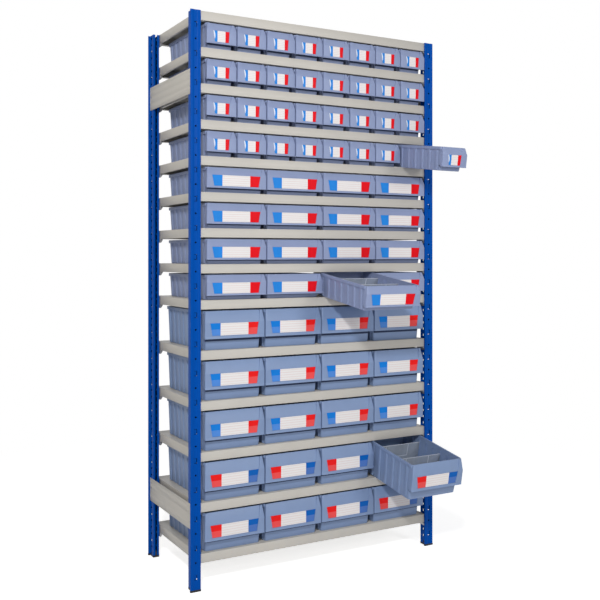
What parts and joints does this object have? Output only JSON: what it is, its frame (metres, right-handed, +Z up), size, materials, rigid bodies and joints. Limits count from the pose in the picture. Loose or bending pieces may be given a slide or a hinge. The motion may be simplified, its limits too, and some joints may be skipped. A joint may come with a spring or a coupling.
{
  "type": "tray storage unit",
  "caption": "free-standing steel shelving bay filled with plastic shelf trays in small, wide and deep sizes, with three trays drawn out and tipped",
  "frame": {"origin": "on the floor, in the middle of the rectangle that the four uprights stand on", "axes": "+Z up, the tray fronts face -Y, +X is to the right as seen from the front"},
  "size_m": [1.035, 0.7312, 2],
  "materials": {
    "blue_steel": "smooth blue powder coat",
    "cream_steel": "smooth cream powder coat",
    "galvanised_steel": "dull zinc plate",
    "black_plastic": "moulded, matt",
    "tray_plastic": "moulded polypropylene, half gloss",
    "smoke_plastic": "see-through smoke grey"
  },
  "bodies": {
    "frame": {"upright_front_left": "blue_steel", "upright_front_right": "blue_steel", "upright_rear_left": "blue_steel", "upright_rear_right": "blue_steel", "foot_caps": "black_plastic", "shelves": "cream_steel", "shelf_clips": "galvanised_steel", "side_ties": "cream_steel", "tie_bolts": "galvanised_steel"},
    "row_1": {"small_trays_row_1": "tray_plastic"},
    "row_2": {"small_trays_row_2": "tray_plastic"},
    "row_3": {"small_trays_row_3": "tray_plastic"},
    "tray_4_1": {"small_tray_4_1": "tray_plastic"},
    "tray_4_2": {"small_tray_4_2": "tray_plastic"},
    "tray_4_3": {"small_tray_4_3": "tray_plastic"},
    "tray_4_4": {"small_tray_4_4": "tray_plastic"},
    "tray_4_5": {"small_tray_4_5": "tray_plastic"},
    "tray_4_6": {"small_tray_4_6": "tray_plastic"},
    "tray_4_7": {"small_tray_4_7": "tray_plastic"},
    "tray_4_8": {"small_tray_4_8": "tray_plastic"},
    "tray_5_1": {"medium_tray_5_1": "tray_plastic"},
    "tray_5_2": {"medium_tray_5_2": "tray_plastic"},
    "tray_5_3": {"medium_tray_5_3": "tray_plastic"},
    "tray_5_4": {"medium_tray_5_4": "tray_plastic"},
    "tray_6_1": {"medium_tray_6_1": "tray_plastic"},
    "tray_6_2": {"medium_tray_6_2": "tray_plastic"},
    "tray_6_3": {"medium_tray_6_3": "tray_plastic"},
    "tray_6_4": {"medium_tray_6_4": "tray_plastic"},
    "tray_7_1": {"medium_tray_7_1": "tray_plastic"},
    "tray_7_2": {"medium_tray_7_2": "tray_plastic"},
    "tray_7_3": {"medium_tray_7_3": "tray_plastic"},
    "tray_7_4": {"medium_tray_7_4": "tray_plastic"},
    "tray_8_1": {"medium_tray_8_1": "tray_plastic"},
    "tray_8_2": {"medium_tray_8_2": "tray_plastic"},
    "tray_8_3": {"medium_tray_8_3": "tray_plastic"},
    "tray_8_4": {"medium_tray_8_4": "tray_plastic"},
    "tray_9_1": {"large_tray_9_1": "tray_plastic"},
    "tray_9_2": {"large_tray_9_2": "tray_plastic"},
    "tray_9_3": {"large_tray_9_3": "tray_plastic"},
    "tray_9_4": {"large_tray_9_4": "tray_plastic"},
    "tray_10_1": {"large_tray_10_1": "tray_plastic"},
    "tray_10_2": {"large_tray_10_2": "tray_plastic"},
    "tray_10_3": {"large_tray_10_3": "tray_plastic"},
    "tray_10_4": {"large_tray_10_4": "tray_plastic"},
    "tray_11_1": {"large_tray_11_1": "tray_plastic"},
    "tray_11_2": {"large_tray_11_2": "tray_plastic"},
    "tray_11_3": {"large_tray_11_3": "tray_plastic"},
    "tray_11_4": {"large_tray_11_4": "tray_plastic"},
    "tray_12_1": {"large_tray_12_1": "tray_plastic"},
    "tray_12_2": {"large_tray_12_2": "tray_plastic"},
    "tray_12_3": {"large_tray_12_3": "tray_plastic"},
    "tray_12_4": {"large_tray_12_4": "tray_plastic"},
    "tray_13_1": {"large_tray_13_1": "tray_plastic"},
    "tray_13_2": {"large_tray_13_2": "tray_plastic"},
    "tray_13_3": {"large_tray_13_3": "tray_plastic"},
    "tray_13_4": {"large_tray_13_4": "tray_plastic"},
    "medium_front_divider": {"medium_divider_front": "smoke_plastic"},
    "medium_rear_divider": {"medium_divider_rear": "smoke_plastic"},
    "large_front_divider": {"large_divider_front": "smoke_plastic"},
    "large_rear_divider": {"large_divider_rear": "smoke_plastic"}
  },
  "joints": [
    {"name": "tray_4_8_slide", "type": "slide", "parent": "frame", "child": "tray_4_8", "axis": [0, -0.9907, -0.1357], "range_m": [-0.075, 0.03]},
    {"name": "tray_8_3_slide", "type": "slide", "parent": "frame", "child": "tray_8_3", "axis": [0, -0.9907, -0.1357], "range_m": [-0.1, 0.01]},
    {"name": "tray_12_4_slide", "type": "slide", "parent": "frame", "child": "tray_12_4", "axis": [0, -0.9874, -0.1582], "range_m": [-0.05, 0.02]},
    {"name": "medium_front_divider_lift", "type": "slide", "parent": "tray_8_3", "child": "medium_front_divider", "axis": [0, -0.1357, 0.9907], "range_m": [0, 0.07]},
    {"name": "medium_rear_divider_lift", "type": "slide", "parent": "tray_8_3", "child": "medium_rear_divider", "axis": [0, -0.1357, 0.9907], "range_m": [0, 0.05]},
    {"name": "large_front_divider_lift", "type": "slide", "parent": "tray_12_4", "child": "large_front_divider", "axis": [0, -0.1582, 0.9874], "range_m": [0, 0.075]},
    {"name": "large_rear_divider_lift", "type": "slide", "parent": "tray_12_4", "child": "large_rear_divider", "axis": [0, -0.1582, 0.9874], "range_m": [0, 0.02]},
    {"name": "row_1_slide", "type": "slide", "parent": "frame", "child": "row_1", "axis": [0, -1, 0], "range_m": [0, 0.28]},
    {"name": "row_2_slide", "type": "slide", "parent": "frame", "child": "row_2", "axis": [0, -1, 0], "range_m": [0, 0.28]},
    {"name": "row_3_slide", "type": "slide", "parent": "frame", "child": "row_3", "axis": [0, -1, 0], "range_m": [0, 0.28]},
    {"name": "tray_4_1_slide", "type": "slide", "parent": "frame", "child": "tray_4_1", "axis": [0, -1, 0], "range_m": [0, 0.28]},
    {"name": "tray_4_2_slide", "type": "slide", "parent": "frame", "child": "tray_4_2", "axis": [0, -1, 0], "range_m": [0, 0.28]},
    {"name": "tray_4_3_slide", "type": "slide", "parent": "frame", "child": "tray_4_3", "axis": [0, -1, 0], "range_m": [0, 0.28]},
    {"name": "tray_4_4_slide", "type": "slide", "parent": "frame", "child": "tray_4_4", "axis": [0, -1, 0], "range_m": [0, 0.28]},
    {"name": "tray_4_5_slide", "type": "slide", "parent": "frame", "child": "tray_4_5", "axis": [0, -1, 0], "range_m": [0, 0.28]},
    {"name": "tray_4_6_slide", "type": "slide", "parent": "frame", "child": "tray_4_6", "axis": [0, -1, 0], "range_m": [0, 0.28]},
    {"name": "tray_4_7_slide", "type": "slide", "parent": "frame", "child": "tray_4_7", "axis": [0, -1, 0], "range_m": [0, 0.28]},
    {"name": "tray_5_1_slide", "type": "slide", "parent": "frame", "child": "tray_5_1", "axis": [0, -1, 0], "range_m": [0, 0.28]},
    {"name": "tray_5_2_slide", "type": "slide", "parent": "frame", "child": "tray_5_2", "axis": [0, -1, 0], "range_m": [0, 0.28]},
    {"name": "tray_5_3_slide", "type": "slide", "parent": "frame", "child": "tray_5_3", "axis": [0, -1, 0], "range_m": [0, 0.28]},
    {"name": "tray_5_4_slide", "type": "slide", "parent": "frame", "child": "tray_5_4", "axis": [0, -1, 0], "range_m": [0, 0.28]},
    {"name": "tray_6_1_slide", "type": "slide", "parent": "frame", "child": "tray_6_1", "axis": [0, -1, 0], "range_m": [0, 0.28]},
    {"name": "tray_6_2_slide", "type": "slide", "parent": "frame", "child": "tray_6_2", "axis": [0, -1, 0], "range_m": [0, 0.28]},
    {"name": "tray_6_3_slide", "type": "slide", "parent": "frame", "child": "tray_6_3", "axis": [0, -1, 0], "range_m": [0, 0.28]},
    {"name": "tray_6_4_slide", "type": "slide", "parent": "frame", "child": "tray_6_4", "axis": [0, -1, 0], "range_m": [0, 0.28]},
    {"name": "tray_7_1_slide", "type": "slide", "parent": "frame", "child": "tray_7_1", "axis": [0, -1, 0], "range_m": [0, 0.28]},
    {"name": "tray_7_2_slide", "type": "slide", "parent": "frame", "child": "tray_7_2", "axis": [0, -1, 0], "range_m": [0, 0.28]},
    {"name": "tray_7_3_slide", "type": "slide", "parent": "frame", "child": "tray_7_3", "axis": [0, -1, 0], "range_m": [0, 0.28]},
    {"name": "tray_7_4_slide", "type": "slide", "parent": "frame", "child": "tray_7_4", "axis": [0, -1, 0], "range_m": [0, 0.28]},
    {"name": "tray_8_1_slide", "type": "slide", "parent": "frame", "child": "tray_8_1", "axis": [0, -1, 0], "range_m": [0, 0.28]},
    {"name": "tray_8_2_slide", "type": "slide", "parent": "frame", "child": "tray_8_2", "axis": [0, -1, 0], "range_m": [0, 0.28]},
    {"name": "tray_8_4_slide", "type": "slide", "parent": "frame", "child": "tray_8_4", "axis": [0, -1, 0], "range_m": [0, 0.28]},
    {"name": "tray_9_1_slide", "type": "slide", "parent": "frame", "child": "tray_9_1", "axis": [0, -1, 0], "range_m": [0, 0.25]},
    {"name": "tray_9_2_slide", "type": "slide", "parent": "frame", "child": "tray_9_2", "axis": [0, -1, 0], "range_m": [0, 0.25]},
    {"name": "tray_9_3_slide", "type": "slide", "parent": "frame", "child": "tray_9_3", "axis": [0, -1, 0], "range_m": [0, 0.25]},
    {"name": "tray_9_4_slide", "type": "slide", "parent": "frame", "child": "tray_9_4", "axis": [0, -1, 0], "range_m": [0, 0.25]},
    {"name": "tray_10_1_slide", "type": "slide", "parent": "frame", "child": "tray_10_1", "axis": [0, -1, 0], "range_m": [0, 0.25]},
    {"name": "tray_10_2_slide", "type": "slide", "parent": "frame", "child": "tray_10_2", "axis": [0, -1, 0], "range_m": [0, 0.25]},
    {"name": "tray_10_3_slide", "type": "slide", "parent": "frame", "child": "tray_10_3", "axis": [0, -1, 0], "range_m": [0, 0.25]},
    {"name": "tray_10_4_slide", "type": "slide", "parent": "frame", "child": "tray_10_4", "axis": [0, -1, 0], "range_m": [0, 0.25]},
    {"name": "tray_11_1_slide", "type": "slide", "parent": "frame", "child": "tray_11_1", "axis": [0, -1, 0], "range_m": [0, 0.25]},
    {"name": "tray_11_2_slide", "type": "slide", "parent": "frame", "child": "tray_11_2", "axis": [0, -1, 0], "range_m": [0, 0.25]},
    {"name": "tray_11_3_slide", "type": "slide", "parent": "frame", "child": "tray_11_3", "axis": [0, -1, 0], "range_m": [0, 0.25]},
    {"name": "tray_11_4_slide", "type": "slide", "parent": "frame", "child": "tray_11_4", "axis": [0, -1, 0], "range_m": [0, 0.25]},
    {"name": "tray_12_1_slide", "type": "slide", "parent": "frame", "child": "tray_12_1", "axis": [0, -1, 0], "range_m": [0, 0.25]},
    {"name": "tray_12_2_slide", "type": "slide", "parent": "frame", "child": "tray_12_2", "axis": [0, -1, 0], "range_m": [0, 0.25]},
    {"name": "tray_12_3_slide", "type": "slide", "parent": "frame", "child": "tray_12_3", "axis": [0, -1, 0], "range_m": [0, 0.25]},
    {"name": "tray_13_1_slide", "type": "slide", "parent": "frame", "child": "tray_13_1", "axis": [0, -1, 0], "range_m": [0, 0.25]},
    {"name": "tray_13_2_slide", "type": "slide", "parent": "frame", "child": "tray_13_2", "axis": [0, -1, 0], "range_m": [0, 0.25]},
    {"name": "tray_13_3_slide", "type": "slide", "parent": "frame", "child": "tray_13_3", "axis": [0, -1, 0], "range_m": [0, 0.25]},
    {"name": "tray_13_4_slide", "type": "slide", "parent": "frame", "child": "tray_13_4", "axis": [0, -1, 0], "range_m": [0, 0.25]}
  ]
}
